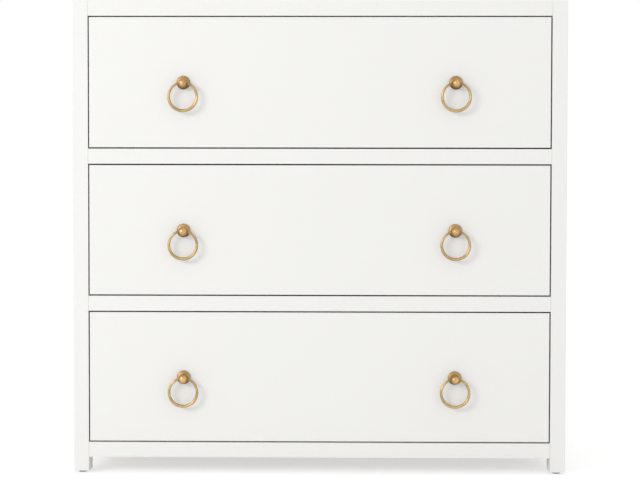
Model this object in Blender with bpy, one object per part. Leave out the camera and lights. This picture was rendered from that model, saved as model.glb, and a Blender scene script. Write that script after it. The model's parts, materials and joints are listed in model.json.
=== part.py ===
"""A three-drawer dresser in lacquered wood, with inset drawer fronts and brass ring pulls.

Metres, +Z up. The front faces -Y and the width lies along X. The origin is on the floor, under the
middle of the whole object with its pulls. Each assembly hangs on an empty at the front plane: x is
measured from the middle, y is the depth behind the front plane and z is the height above the floor,
or above the bottom of its own opening for a drawer.
"""

import math

import bmesh
import bpy
from mathutils import Vector

# Clearances
FIT = 0.0003  # between two pieces that touch
FRONT_GAP = 0.0025  # reveal round each inset drawer front
SLIDE_PLAY = 0.0004  # between the nested members of a slide
RING_PLAY = 0.0005  # between a ring's wire and the eye in its ball
REAR_CLEARANCE = 0.0127  # behind a closed drawer

# Carcass
WIDTH = 0.914
DEPTH = 0.457
SIDE_THICKNESS = 0.028
TOP_THICKNESS = 0.028
RAIL_HEIGHT = 0.028
RAIL_DEPTH = 0.040
OPENING_HEIGHT = 0.245
TOE_HEIGHT = 0.03  # floor to the underside of the bottom rail
LEG_DEPTH = 0.040
LEG_CORNER_RADIUS = 0.006
REAR_RAIL_THICKNESS = 0.018
REAR_TOP_RAIL_HEIGHT = 0.060
BACK_THICKNESS = 0.006
BACK_REBATE = 0.008
BOTTOM_THICKNESS = 0.012
BOTTOM_RISE = 0.008  # from the rail's underside to the bottom panel's
PANEL_GROOVE = 0.008
EASED_EDGE = 0.0008

# Carcass joints
TENON_LENGTH = 0.015
TENON_THICKNESS = 0.010
TENON_SETBACK = 0.006  # from the rail's front face
TENON_SHOULDER = 0.004  # from the tenon to the bottom panel's groove
TONGUE_LENGTH = 0.008
TONGUE_THICKNESS = 0.010
TONGUE_SETBACK = 0.030

# Glides
GLIDE_HEIGHT = 0.004
GLIDE_DIAMETER = 0.017
GLIDE_CHAMFER = 0.001
GLIDE_PIN_DIAMETER = 0.003
GLIDE_PIN_LENGTH = 0.012

# Drawers
DRAWER_ROWS = ("lower", "centre", "upper")
FRONT_THICKNESS = 0.020
BOX_RISE = 0.014  # from the opening's bottom to the box's
BOX_HEADROOM = 0.031  # from the box's top to the opening's top
BOX_WALL = 0.012
DRAWER_BOTTOM_THICKNESS = 0.006
DRAWER_GROOVE = 0.006
DRAWER_GROOVE_RISE = 0.012

# Dovetails
DOVETAIL_LAP = 0.010
LEAST_TAIL_PITCH = 0.038
TAIL_ROOT = 0.024
TAIL_SLOPE = 1 / 7

# Slides
SLIDE_SPACE = 0.0127  # between a drawer side and the carcass side
SLIDE_RISE = 0.080  # from the box's bottom to the slide's middle
SLIDE_HEIGHT = 0.045
CABINET_MEMBER_DEPTH = 0.010
SHEET = 0.0012
SLIDE_LIP = 0.003
SLIDE_SCREW_INSET = 0.035
SLIDE_HOLE_DIAMETER = 0.0045

# Pulls
PULL_SPACING = 0.503
PULL_DROP = 0.0008  # from the middle of the opening down to the pull
ROSETTE_DIAMETER = 0.025
ROSETTE_EDGE = 0.0015
ROSETTE_RISE = 0.005
NECK_DIAMETER = 0.009
NECK_LENGTH = 0.0013
NECK_ROOT = 0.002  # how deep the neck is set in the rosette
BALL_DIAMETER = 0.017
BALL_DROP = 0.0019  # from the rosette's centre down to the ball's
EYE_RISE = 0.0012  # from the ball's centre up to the eye's axis
STUD_DIAMETER = 0.004
STUD_TAIL = 0.004  # past the back of the drawer front
RING_DIAMETER = 0.0566
WIRE_TOP = 0.004
WIRE_BOTTOM = 0.0056

# Facets
MERGE = 0.000001
CUT_OVERSHOOT = 0.001
CORNER_STEPS = 4
EASE_STEPS = 2
HOLE_STEPS = 10
GLIDE_STEPS = 16
PULL_STEPS = 20
EYE_STEPS = 16
EYE_STATIONS = 6
DOME_STEPS = 4
BALL_STEPS = 8
RING_POINTS = 28
RING_BEVEL_RESOLUTION = 2
SMOOTH_ANGLE = math.radians(35)

# Places worked out from the sizes
HALF_WIDTH = WIDTH / 2
HALF_INSIDE = HALF_WIDTH - SIDE_THICKNESS
HALF_BOX = HALF_INSIDE - SLIDE_SPACE
ROW_PITCH = OPENING_HEIGHT + RAIL_HEIGHT
FIRST_OPENING = TOE_HEIGHT + RAIL_HEIGHT
TOP_UNDERSIDE = TOE_HEIGHT + len(DRAWER_ROWS) * ROW_PITCH
HEIGHT = TOP_UNDERSIDE + TOP_THICKNESS
BALL_SEAT = math.sqrt(BALL_DIAMETER**2 - NECK_DIAMETER**2) / 2  # from the neck's end to the ball's centre
BALL_STANDOFF = ROSETTE_RISE + NECK_LENGTH + BALL_SEAT  # from the drawer front to the ball's centre
PULL_REACH = BALL_STANDOFF + BALL_DIAMETER / 2
EYE_OFFSET = Vector((0, -BALL_STANDOFF, EYE_RISE - BALL_DROP))  # from the pull's place on the front
FRONT_Y = (PULL_REACH - DEPTH) / 2
BACK_FACE = DEPTH - BACK_THICKNESS
REAR_RAIL_BACK = BACK_FACE - FIT
REAR_RAIL_FRONT = REAR_RAIL_BACK - REAR_RAIL_THICKNESS
BOTTOM_LOW = TOE_HEIGHT + BOTTOM_RISE
BOTTOM_HIGH = BOTTOM_LOW + BOTTOM_THICKNESS
BOTTOM_FRONT = RAIL_DEPTH - PANEL_GROOVE
BOTTOM_BACK = REAR_RAIL_FRONT + PANEL_GROOVE
TENON_FRONT = TENON_SETBACK
TENON_BACK = BOTTOM_FRONT - TENON_SHOULDER
BOX_BACK = REAR_RAIL_FRONT - REAR_CLEARANCE
BOX_HEIGHT = OPENING_HEIGHT - BOX_RISE - BOX_HEADROOM
BOX_TOP = BOX_RISE + BOX_HEIGHT
GROOVE_LOW = BOX_RISE + DRAWER_GROOVE_RISE
GROOVE_HIGH = GROOVE_LOW + DRAWER_BOTTOM_THICKNESS
BACK_LOW = GROOVE_HIGH + FIT
SLIDE_Z = BOX_RISE + SLIDE_RISE
PULL_HEIGHT = OPENING_HEIGHT / 2 - PULL_DROP
RING_RADIUS = (RING_DIAMETER - (WIRE_TOP + WIRE_BOTTOM) / 2) / 2


def clear_scene():
    for obj in list(bpy.data.objects):
        bpy.data.objects.remove(obj, do_unlink=True)


def finish(name, color, roughness, metallic):
    material = bpy.data.materials.new(name)
    material.use_nodes = True
    shader = material.node_tree.nodes["Principled BSDF"]
    shader.inputs["Base Color"].default_value = (*color, 1.0)
    shader.inputs["Roughness"].default_value = roughness
    shader.inputs["Metallic"].default_value = metallic
    return material


def assembly(name, location, parent=None):
    empty = bpy.data.objects.new(name, None)
    empty.location = location
    empty.parent = parent
    bpy.context.collection.objects.link(empty)
    return empty


def place(name, bm, material, parent, origin):
    """Makes the mesh an object whose own origin is at the given point of its assembly."""
    bmesh.ops.translate(bm, verts=bm.verts, vec=-Vector(origin))
    mesh = bpy.data.meshes.new(name)
    bm.to_mesh(mesh)
    bm.free()
    mesh.materials.append(material)
    obj = bpy.data.objects.new(name, mesh)
    obj.location = origin
    obj.parent = parent
    bpy.context.collection.objects.link(obj)
    return obj


def shade_round(obj):
    obj.data.shade_smooth()
    obj.data.set_sharp_from_angle(angle=SMOOTH_ANGLE)


def reshape(obj, operation, label, bm):
    """Cuts a helper solid from the object, or joins it on, with a live Boolean."""
    helper = place(f"{obj.name}.{label}", bm, obj.data.materials[0], obj.parent, obj.location)
    helper.hide_render = True
    helper.display_type = "WIRE"
    modifier = obj.modifiers.new(label, "BOOLEAN")
    modifier.operation = operation
    modifier.object = helper


def board(low, high):
    """A straight board between two opposite corners."""
    bm = bmesh.new()
    bmesh.ops.create_cube(bm, size=1)
    low, high = Vector(low), Vector(high)
    bmesh.ops.scale(bm, verts=bm.verts, vec=high - low)
    bmesh.ops.translate(bm, verts=bm.verts, vec=(low + high) / 2)
    return bm


def mirrored_board(half_width, low, high):
    """A board centred on the middle plane, between two (y, z) corners."""
    return board((-half_width, *low), (half_width, *high))


def prism(outline, length):
    """An outline of three-dimensional points pushed along one direction."""
    bm = bmesh.new()
    face = bm.faces.new([bm.verts.new(point) for point in outline])
    pushed = bmesh.ops.extrude_face_region(bm, geom=[face])
    verts = [item for item in pushed["geom"] if isinstance(item, bmesh.types.BMVert)]
    bmesh.ops.translate(bm, verts=verts, vec=length)
    bmesh.ops.recalc_face_normals(bm, faces=bm.faces)
    return bm


def turned(profile, axis, steps):
    """A round solid: (distance along the axis, radius) points spun about the axis."""
    along = Vector(axis)
    outward = along.orthogonal().normalized()
    bm = bmesh.new()
    verts = [bm.verts.new(along * distance + outward * radius) for distance, radius in profile]
    edges = [bm.edges.new(pair) for pair in zip(verts, verts[1:])]
    bmesh.ops.spin(
        bm, geom=verts + edges, axis=along, cent=(0, 0, 0), angle=math.tau, steps=steps, use_merge=True
    )
    bmesh.ops.remove_doubles(bm, verts=bm.verts, dist=MERGE)
    bmesh.ops.recalc_face_normals(bm, faces=bm.faces)
    return bm


def merged(meshes):
    """Separate solids in one mesh, for a helper that cuts in several places."""
    bm = bmesh.new()
    for part in meshes:
        holder = bpy.data.meshes.new("holder")
        part.to_mesh(holder)
        part.free()
        bm.from_mesh(holder)
        bpy.data.meshes.remove(holder)
    return bm


def moved(bm, vec):
    bmesh.ops.translate(bm, verts=bm.verts, vec=vec)
    return bm


def edges_at(bm, **planes):
    """The edges that lie in every one of the given planes, such as y=0."""
    return [
        edge
        for edge in bm.edges
        if all(abs(getattr(vert.co, axis) - at) < MERGE for vert in edge.verts for axis, at in planes.items())
    ]


def ease(bm, edges):
    bmesh.ops.bevel(
        bm, geom=list(edges), offset=EASED_EDGE, segments=EASE_STEPS, profile=0.5, affect="EDGES", material=-1
    )
    return bm


def arc(centre_y, centre_z, radius, start, end, steps):
    """Points in the (y, z) plane on an arc between two angles."""
    angles = [start + (end - start) * step / steps for step in range(steps + 1)]
    return [(centre_y + radius * math.cos(a), centre_z + radius * math.sin(a)) for a in angles]


# Carcass


def side_outline():
    """The side panel seen from the side: a slab whose lower edge is cut away between two legs."""
    radius = LEG_CORNER_RADIUS
    low = TOE_HEIGHT - radius
    front = LEG_DEPTH + radius
    back = DEPTH - front
    return [
        (0, GLIDE_HEIGHT),
        (LEG_DEPTH, GLIDE_HEIGHT),
        *arc(front, low, radius, math.pi, math.pi / 2, CORNER_STEPS),
        *arc(back, low, radius, math.pi / 2, 0, CORNER_STEPS),
        (DEPTH - LEG_DEPTH, GLIDE_HEIGHT),
        (DEPTH, GLIDE_HEIGHT),
        (DEPTH, HEIGHT),
        (0, HEIGHT),
    ]


def rail_heights():
    """The underside of each front rail, from the bottom rail up."""
    return {
        "bottom_rail": TOE_HEIGHT,
        "lower_divider_rail": TOE_HEIGHT + ROW_PITCH,
        "upper_divider_rail": TOE_HEIGHT + 2 * ROW_PITCH,
    }


def tenon(underside, grow):
    """The bar whose two ends are a rail's tenons; grow makes it the mortise."""
    middle = underside + RAIL_HEIGHT / 2
    half = TENON_THICKNESS / 2 + grow
    reach = HALF_INSIDE + TENON_LENGTH - FIT + grow
    return mirrored_board(reach, (TENON_FRONT - grow, middle - half), (TENON_BACK + grow, middle + half))


def top_tongue(grow):
    middle = TOP_UNDERSIDE + TOP_THICKNESS / 2
    half = TONGUE_THICKNESS / 2 + grow
    reach = HALF_INSIDE + TONGUE_LENGTH - FIT + grow
    front = TONGUE_SETBACK - grow
    back = DEPTH - TONGUE_SETBACK + grow
    return mirrored_board(reach, (front, middle - half), (back, middle + half))


def bottom_panel_shape(grow):
    reach = HALF_INSIDE + PANEL_GROOVE - FIT + grow
    front = BOTTOM_FRONT + FIT - grow
    back = BOTTOM_BACK - FIT + grow
    return mirrored_board(reach, (front, BOTTOM_LOW - grow), (back, BOTTOM_HIGH + grow))


def back_panel_shape(grow):
    reach = HALF_INSIDE + BACK_REBATE - FIT + grow
    top = TOP_UNDERSIDE + BACK_REBATE - FIT + grow
    outside = DEPTH + (CUT_OVERSHOOT if grow else 0)
    return mirrored_board(reach, (BACK_FACE - grow, TOE_HEIGHT - grow), (outside, top))


def glide_pin(leg_y, side, grow):
    """The pin on top of a glide, or with grow the hole for it in the leg."""
    radius = GLIDE_PIN_DIAMETER / 2 + grow
    top = GLIDE_HEIGHT + GLIDE_PIN_LENGTH + grow
    low = GLIDE_HEIGHT - CUT_OVERSHOOT
    pin = turned([(low, 0), (low, radius), (top, radius), (top, 0)], (0, 0, 1), HOLE_STEPS)
    return moved(pin, (side * (HALF_WIDTH - SIDE_THICKNESS / 2), leg_y, 0))


def leg_depths():
    return {"front": LEG_DEPTH / 2, "rear": DEPTH - LEG_DEPTH / 2}


def make_side_panel(name, side, material, carcass):
    outer = side * HALF_WIDTH
    inner = side * HALF_INSIDE
    bm = prism([(outer, y, z) for y, z in side_outline()], (inner - outer, 0, 0))
    eased = edges_at(bm, x=outer, y=0) + edges_at(bm, x=outer, y=DEPTH) + edges_at(bm, z=HEIGHT)
    inner_top = edges_at(bm, x=inner, z=HEIGHT)
    ease(bm, set(eased) - set(inner_top))
    panel = place(name, bm, material, carcass, (outer, 0, GLIDE_HEIGHT))
    mortises = [tenon(underside, FIT) for underside in rail_heights().values()]
    reshape(panel, "DIFFERENCE", "rail_mortises", merged(mortises))
    reshape(panel, "DIFFERENCE", "top_groove", top_tongue(FIT))
    reshape(panel, "DIFFERENCE", "bottom_groove", bottom_panel_shape(FIT))
    reshape(panel, "DIFFERENCE", "back_rebate", back_panel_shape(FIT))
    pins = [glide_pin(leg_y, side, FIT) for leg_y in leg_depths().values()]
    reshape(panel, "DIFFERENCE", "glide_holes", merged(pins))


def make_top_panel(material, carcass):
    reach = HALF_INSIDE - FIT
    bm = mirrored_board(reach, (0, TOP_UNDERSIDE), (DEPTH, HEIGHT))
    front = edges_at(bm, y=0, z=HEIGHT) + edges_at(bm, y=0, z=TOP_UNDERSIDE)
    ease(bm, front + edges_at(bm, y=DEPTH, z=HEIGHT))
    top = place("top_panel", bm, material, carcass, (0, 0, TOP_UNDERSIDE))
    reshape(top, "UNION", "end_tongues", top_tongue(0))
    reshape(top, "DIFFERENCE", "back_rebate", back_panel_shape(FIT))


def make_front_rail(name, underside, material, carcass):
    high = underside + RAIL_HEIGHT
    bm = mirrored_board(HALF_INSIDE - FIT, (0, underside), (RAIL_DEPTH, high))
    ease(bm, edges_at(bm, y=0, z=underside) + edges_at(bm, y=0, z=high))
    rail = place(name, bm, material, carcass, (0, 0, underside))
    reshape(rail, "UNION", "tenons", tenon(underside, 0))
    return rail


def make_rear_rail(name, underside, height, material, carcass):
    low = (REAR_RAIL_FRONT, underside)
    high = (REAR_RAIL_BACK, underside + height)
    bm = mirrored_board(HALF_INSIDE - FIT, low, high)
    return place(name, bm, material, carcass, (0, REAR_RAIL_FRONT, underside))


def make_glide(name, side, leg_y, material, carcass):
    """A nailed glide: a chamfered disc on the floor with its pin up in the leg."""
    radius = GLIDE_DIAMETER / 2
    top = GLIDE_HEIGHT - FIT
    pin_radius = GLIDE_PIN_DIAMETER / 2
    pin_top = GLIDE_HEIGHT + GLIDE_PIN_LENGTH
    profile = [
        (0, 0),
        (0, radius - GLIDE_CHAMFER),
        (GLIDE_CHAMFER, radius),
        (top, radius),
        (top, pin_radius),
        (pin_top, pin_radius),
        (pin_top, 0),
    ]
    centre = (side * (HALF_WIDTH - SIDE_THICKNESS / 2), leg_y, 0)
    bm = moved(turned(profile, (0, 0, 1), GLIDE_STEPS), centre)
    shade_round(place(name, bm, material, carcass, centre))


def make_carcass(finishes):
    carcass = assembly("carcass", (0, FRONT_Y, 0))
    lacquer = finishes["lacquer"]
    for word, side in (("left", -1), ("right", 1)):
        make_side_panel(f"{word}_side_panel", side, lacquer, carcass)
        for end, leg_y in leg_depths().items():
            make_glide(f"{end}_{word}_glide", side, leg_y, finishes["glide"], carcass)
    make_top_panel(lacquer, carcass)
    for name, underside in rail_heights().items():
        rail = make_front_rail(name, underside, lacquer, carcass)
        if name == "bottom_rail":
            reshape(rail, "DIFFERENCE", "panel_groove", bottom_panel_shape(FIT))
    rear = make_rear_rail("rear_bottom_rail", TOE_HEIGHT, RAIL_HEIGHT, finishes["inner_wood"], carcass)
    reshape(rear, "DIFFERENCE", "panel_groove", bottom_panel_shape(FIT))
    rear_top_low = TOP_UNDERSIDE - FIT - REAR_TOP_RAIL_HEIGHT
    make_rear_rail("rear_top_rail", rear_top_low, REAR_TOP_RAIL_HEIGHT, finishes["inner_wood"], carcass)
    bottom_origin = (0, BOTTOM_FRONT, BOTTOM_LOW)
    place("bottom_panel", bottom_panel_shape(0), finishes["inner_wood"], carcass, bottom_origin)
    place("back_panel", back_panel_shape(0), finishes["back_board"], carcass, (0, BACK_FACE, TOE_HEIGHT))
    return carcass


# Slides


def reflected(points):
    """The points below the slide's middle that match those above it."""
    return [(u, -v) for u, v in reversed(points)]


def channel_profile(back, front, half_height):
    """A C-shaped channel with lips: (distance from the carcass side, height) points."""
    inside = half_height - SHEET
    upper = [
        (back, half_height),
        (front, half_height),
        (front, inside - SLIDE_LIP),
        (front - SHEET, inside - SLIDE_LIP),
        (front - SHEET, inside),
        (back + SHEET, inside),
    ]
    return upper + reflected(upper)


def hat_profile(foot, web, foot_height, wall_height):
    """A hat section: its web lies on the drawer side and its feet run behind the channel's lips."""
    outside = [
        (foot, foot_height),
        (foot + SHEET, foot_height),
        (foot + SHEET, wall_height),
        (web, wall_height),
    ]
    hollow = [(web - SHEET, wall_height - SHEET), (foot, wall_height - SHEET)]
    return outside + reflected(outside) + reflected(hollow) + hollow


def slide_profile(member):
    """The three members nest, each clear of the next by the slide's play."""
    step = SHEET + SLIDE_PLAY
    half = SLIDE_HEIGHT / 2
    if member == "cabinet":
        return channel_profile(FIT, CABINET_MEMBER_DEPTH, half)
    if member == "middle":
        return channel_profile(FIT + step, CABINET_MEMBER_DEPTH - step, half - step)
    wall = half - step - SHEET - SLIDE_LIP - SLIDE_PLAY
    return hat_profile(FIT + 2 * step, SLIDE_SPACE - FIT, half - 2 * step, wall)


def slide_screw_holes(side, web_back, height):
    """Three holes through a member's web, for the screws that hold it."""
    near = web_back - CUT_OVERSHOOT
    far = web_back + SHEET + CUT_OVERSHOOT
    radius = SLIDE_HOLE_DIAMETER / 2
    depths = (
        FRONT_THICKNESS + SLIDE_SCREW_INSET,
        (FRONT_THICKNESS + BOX_BACK) / 2,
        BOX_BACK - SLIDE_SCREW_INSET,
    )
    profile = [(near, 0), (near, radius), (far, radius), (far, 0)]
    places = [(side * HALF_INSIDE, depth, height) for depth in depths]
    return merged([moved(turned(profile, (-side, 0, 0), HOLE_STEPS), at) for at in places])


def make_slide_member(row, word, side, member, material, parent, floor_z):
    height = floor_z + SLIDE_Z
    origin = (side * HALF_INSIDE, FRONT_THICKNESS, height)
    outline = [(side * (HALF_INSIDE - u), FRONT_THICKNESS, height + v) for u, v in slide_profile(member)]
    bm = prism(outline, (0, BOX_BACK - FRONT_THICKNESS, 0))
    obj = place(f"{row}_{word}_slide_{member}_member", bm, material, parent, origin)
    webs = {"cabinet": FIT, "drawer": SLIDE_SPACE - FIT - SHEET}
    if member in webs:
        reshape(obj, "DIFFERENCE", "screw_holes", slide_screw_holes(side, webs[member], height))


# Dovetails


def tail_centres(low, high):
    """The heights of the tails' middles, evenly spread between two heights."""
    count = int((high - low) / LEAST_TAIL_PITCH)
    pitch = (high - low) / count
    return [low + (index + 0.5) * pitch for index in range(count)]


def tail(centre, root_y, end_y, before=0.0, beyond=0.0, grow=0.0):
    """The (y, z) corners of one dovetail, which widens from its root to its end."""
    step = math.copysign(1, end_y - root_y)
    first = root_y - step * before
    last = end_y + step * beyond
    first_half = TAIL_ROOT / 2 + grow - before * TAIL_SLOPE
    last_half = TAIL_ROOT / 2 + grow + abs(last - root_y) * TAIL_SLOPE
    return [
        (first, centre - first_half),
        (last, centre - last_half),
        (last, centre + last_half),
        (first, centre + first_half),
    ]


def front_tail_ends():
    """The root and the end of the tails that enter the back of the drawer front."""
    return FRONT_THICKNESS + FIT, FRONT_THICKNESS - DOVETAIL_LAP


def back_tail_ends():
    """The root and the end of the tails that pass through the drawer back."""
    return BOX_BACK - BOX_WALL - FIT, BOX_BACK


def sockets(centres, ends, beyond):
    """The cutters that take the tails at both ends of a drawer front or back."""
    cutters = []
    for side in (-1, 1):
        outside = side * (HALF_BOX + CUT_OVERSHOOT)
        inside = side * (HALF_BOX - BOX_WALL - FIT)
        for centre in centres:
            corners = tail(centre, *ends, before=CUT_OVERSHOOT, beyond=beyond, grow=FIT)
            outline = [(outside, y, z) for y, z in corners]
            cutters.append(prism(outline, (inside - outside, 0, 0)))
    return merged(cutters)


def drawer_side_outline():
    """The side board: tails at both ends, with a plain corner under the drawer back."""
    front_root, front_end = front_tail_ends()
    back_root, back_end = back_tail_ends()
    outline = [(front_root, BOX_RISE)]
    for centre in tail_centres(BOX_RISE, BOX_TOP):
        outline += tail(centre, front_root, front_end)
    outline += [(front_root, BOX_TOP), (back_root, BOX_TOP)]
    for centre in reversed(tail_centres(BACK_LOW, BOX_TOP)):
        outline += reversed(tail(centre, back_root, back_end))
    seat = BACK_LOW - FIT
    return outline + [(back_root, seat), (BOX_BACK, seat), (BOX_BACK, BOX_RISE)]


# Drawers


def make_drawer_side(row, word, side, material, drawer):
    outer = side * HALF_BOX
    inner = side * (HALF_BOX - BOX_WALL)
    outline = [(outer, y, z) for y, z in drawer_side_outline()]
    bm = prism(outline, (inner - outer, 0, 0))
    board_side = place(f"{row}_drawer_{word}_side", bm, material, drawer, (outer, FRONT_THICKNESS, BOX_RISE))
    near = inner - side * CUT_OVERSHOOT
    far = inner + side * (DRAWER_GROOVE + FIT)
    low = (min(near, far), FRONT_THICKNESS - DOVETAIL_LAP - CUT_OVERSHOOT, GROOVE_LOW - FIT)
    high = (max(near, far), BOX_BACK + CUT_OVERSHOOT, GROOVE_HIGH + FIT)
    reshape(board_side, "DIFFERENCE", "bottom_groove", board(low, high))


def make_drawer_back(row, material, drawer):
    low = (BOX_BACK - BOX_WALL, BACK_LOW)
    high = (BOX_BACK, BOX_TOP)
    bm = mirrored_board(HALF_BOX, low, high)
    back = place(f"{row}_drawer_back", bm, material, drawer, (0, *low))
    cutters = sockets(tail_centres(BACK_LOW, BOX_TOP), back_tail_ends(), CUT_OVERSHOOT)
    reshape(back, "DIFFERENCE", "tail_sockets", cutters)


def make_drawer_bottom(row, material, drawer):
    reach = HALF_BOX - BOX_WALL + DRAWER_GROOVE
    low = (FRONT_THICKNESS - DRAWER_GROOVE, GROOVE_LOW)
    bm = mirrored_board(reach, low, (BOX_BACK, GROOVE_HIGH))
    place(f"{row}_drawer_bottom", bm, material, drawer, (0, *low))


def front_end_rebates():
    """The steps behind the drawer front's lips, where the slides run up to the lip."""
    step_y = FRONT_THICKNESS - DOVETAIL_LAP - FIT
    low_z = -CUT_OVERSHOOT
    high_z = OPENING_HEIGHT + CUT_OVERSHOOT
    boards = []
    for ends in ((-HALF_INSIDE, -HALF_BOX), (HALF_BOX, HALF_INSIDE)):
        low = (ends[0], step_y, low_z)
        high = (ends[1], FRONT_THICKNESS + CUT_OVERSHOOT, high_z)
        boards.append(board(low, high))
    return merged(boards)


def stud_holes():
    radius = STUD_DIAMETER / 2 + FIT
    far = FRONT_THICKNESS + CUT_OVERSHOOT
    profile = [(-CUT_OVERSHOOT, 0), (-CUT_OVERSHOOT, radius), (far, radius), (far, 0)]
    places = [(side * PULL_SPACING / 2, 0, PULL_HEIGHT) for side in (-1, 1)]
    return merged([moved(turned(profile, (0, 1, 0), HOLE_STEPS), at) for at in places])


def make_drawer_front(row, material, drawer):
    """The lacquered front, lipped past the box, with half-blind sockets for the sides' tails."""
    high_z = OPENING_HEIGHT - FRONT_GAP
    bm = mirrored_board(HALF_INSIDE - FRONT_GAP, (0, FRONT_GAP), (FRONT_THICKNESS, high_z))
    ease(bm, edges_at(bm, y=0))
    front = place(f"{row}_drawer_front", bm, material, drawer, (0, 0, FRONT_GAP))
    reshape(front, "DIFFERENCE", "end_rebates", front_end_rebates())
    cutters = sockets(tail_centres(BOX_RISE, BOX_TOP), front_tail_ends(), FIT)
    reshape(front, "DIFFERENCE", "tail_sockets", cutters)
    low = (FRONT_THICKNESS - DRAWER_GROOVE - FIT, GROOVE_LOW - FIT)
    high = (FRONT_THICKNESS + CUT_OVERSHOOT, GROOVE_HIGH + FIT)
    reach = HALF_BOX - BOX_WALL + DRAWER_GROOVE + FIT
    reshape(front, "DIFFERENCE", "bottom_groove", mirrored_board(reach, low, high))
    reshape(front, "DIFFERENCE", "stud_holes", stud_holes())


# Pulls


def wire_radius(angle):
    """Half the ring's wire, thinnest at the top where angle is 0 and thickest at the bottom."""
    return (WIRE_TOP + (WIRE_BOTTOM - WIRE_TOP) * (1 - math.cos(angle)) / 2) / 2


def eye_radius(x):
    """The eye's radius at a distance from the ball's middle: what the curved wire sweeps, with play."""
    angle = math.asin(x / RING_RADIUS)
    drop = RING_RADIUS * (1 - math.cos(angle))
    return drop + wire_radius(angle) / math.cos(angle) + RING_PLAY


def eye_cutter():
    """The flared eye through the ball, turned about the axis that the ring swings on."""
    reach = BALL_DIAMETER / 2 + CUT_OVERSHOOT
    stations = [reach * (2 * index / EYE_STATIONS - 1) for index in range(EYE_STATIONS + 1)]
    profile = [(-reach, 0)] + [(x, eye_radius(x)) for x in stations] + [(reach, 0)]
    return turned(profile, (1, 0, 0), EYE_STEPS)


def rosette_profile():
    """The stud and the domed rosette, as (distance out, radius) points."""
    stud = STUD_DIAMETER / 2
    rim = ROSETTE_DIAMETER / 2
    flat = NECK_DIAMETER / 2
    stud_end = -(FRONT_THICKNESS + STUD_TAIL)
    dome_start = FIT + ROSETTE_EDGE
    profile = [(stud_end, 0), (stud_end, stud), (FIT, stud), (FIT, rim)]
    for index in range(DOME_STEPS + 1):
        angle = math.pi / 2 * index / DOME_STEPS
        out = dome_start + (ROSETTE_RISE - dome_start) * math.sin(angle)
        profile.append((out, flat + (rim - flat) * math.cos(angle)))
    return profile + [(ROSETTE_RISE, 0)]


def ball_profile():
    """The neck and the ball, as (distance out, radius) points."""
    neck = NECK_DIAMETER / 2
    ball = BALL_DIAMETER / 2
    root = ROSETTE_RISE - NECK_ROOT
    profile = [(root, 0), (root, neck)]
    first = math.asin(neck / ball)
    for index in range(BALL_STEPS + 1):
        angle = first + (math.pi - first) * index / BALL_STEPS
        profile.append((BALL_STANDOFF - ball * math.cos(angle), ball * math.sin(angle)))
    return profile


def make_pull_post(row, word, centre, material, drawer):
    """The casting: its neck and ball sit a little below the rosette's centre."""
    bm = moved(turned(rosette_profile(), (0, -1, 0), PULL_STEPS), centre)
    post = place(f"{row}_{word}_pull_post", bm, material, drawer, centre)
    shade_round(post)
    ball_centre = Vector(centre) - Vector((0, 0, BALL_DROP))
    ball = moved(turned(ball_profile(), (0, -1, 0), PULL_STEPS), ball_centre)
    reshape(post, "UNION", "neck_and_ball", ball)
    reshape(post, "DIFFERENCE", "eye", moved(eye_cutter(), Vector(centre) + EYE_OFFSET))


def make_pull_ring(row, word, centre, material, drawer):
    """The ring hangs from the eye's axis, which is its own origin."""
    name = f"{row}_{word}_pull_ring"
    curve = bpy.data.curves.new(name, "CURVE")
    curve.dimensions = "3D"
    curve.twist_mode = "MINIMUM"
    curve.bevel_depth = WIRE_TOP / 2
    curve.bevel_resolution = RING_BEVEL_RESOLUTION
    spline = curve.splines.new("POLY")
    spline.points.add(RING_POINTS - 1)
    spline.use_cyclic_u = True
    for index, point in enumerate(spline.points):
        angle = math.tau * index / RING_POINTS
        across = RING_RADIUS * math.sin(angle)
        down = RING_RADIUS * (1 - math.cos(angle))
        point.co = (across, 0, -down, 1)
        point.radius = wire_radius(angle) / (WIRE_TOP / 2)
    curve.materials.append(material)
    ring = bpy.data.objects.new(name, curve)
    ring.location = Vector(centre) + EYE_OFFSET
    ring.parent = drawer
    bpy.context.collection.objects.link(ring)


def make_drawer(row, floor_z, finishes):
    drawer = assembly(f"{row}_drawer", (0, FRONT_Y, floor_z))
    make_drawer_front(row, finishes["lacquer"], drawer)
    make_drawer_back(row, finishes["box_wood"], drawer)
    make_drawer_bottom(row, finishes["box_wood"], drawer)
    for word, side in (("left", -1), ("right", 1)):
        make_drawer_side(row, word, side, finishes["box_wood"], drawer)
        make_slide_member(row, word, side, "drawer", finishes["zinc"], drawer, 0)
        centre = (side * PULL_SPACING / 2, 0, PULL_HEIGHT)
        make_pull_post(row, word, centre, finishes["brass"], drawer)
        make_pull_ring(row, word, centre, finishes["brass"], drawer)


def make_slides(row, floor_z, carcass, finishes):
    """The members that stay on the carcass, and the ones that ride half way out with the drawer."""
    carriage = assembly(f"{row}_slide_carriage", (0, FRONT_Y, floor_z))
    for word, side in (("left", -1), ("right", 1)):
        make_slide_member(row, word, side, "cabinet", finishes["zinc"], carcass, floor_z)
        make_slide_member(row, word, side, "middle", finishes["zinc"], carriage, 0)


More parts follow.
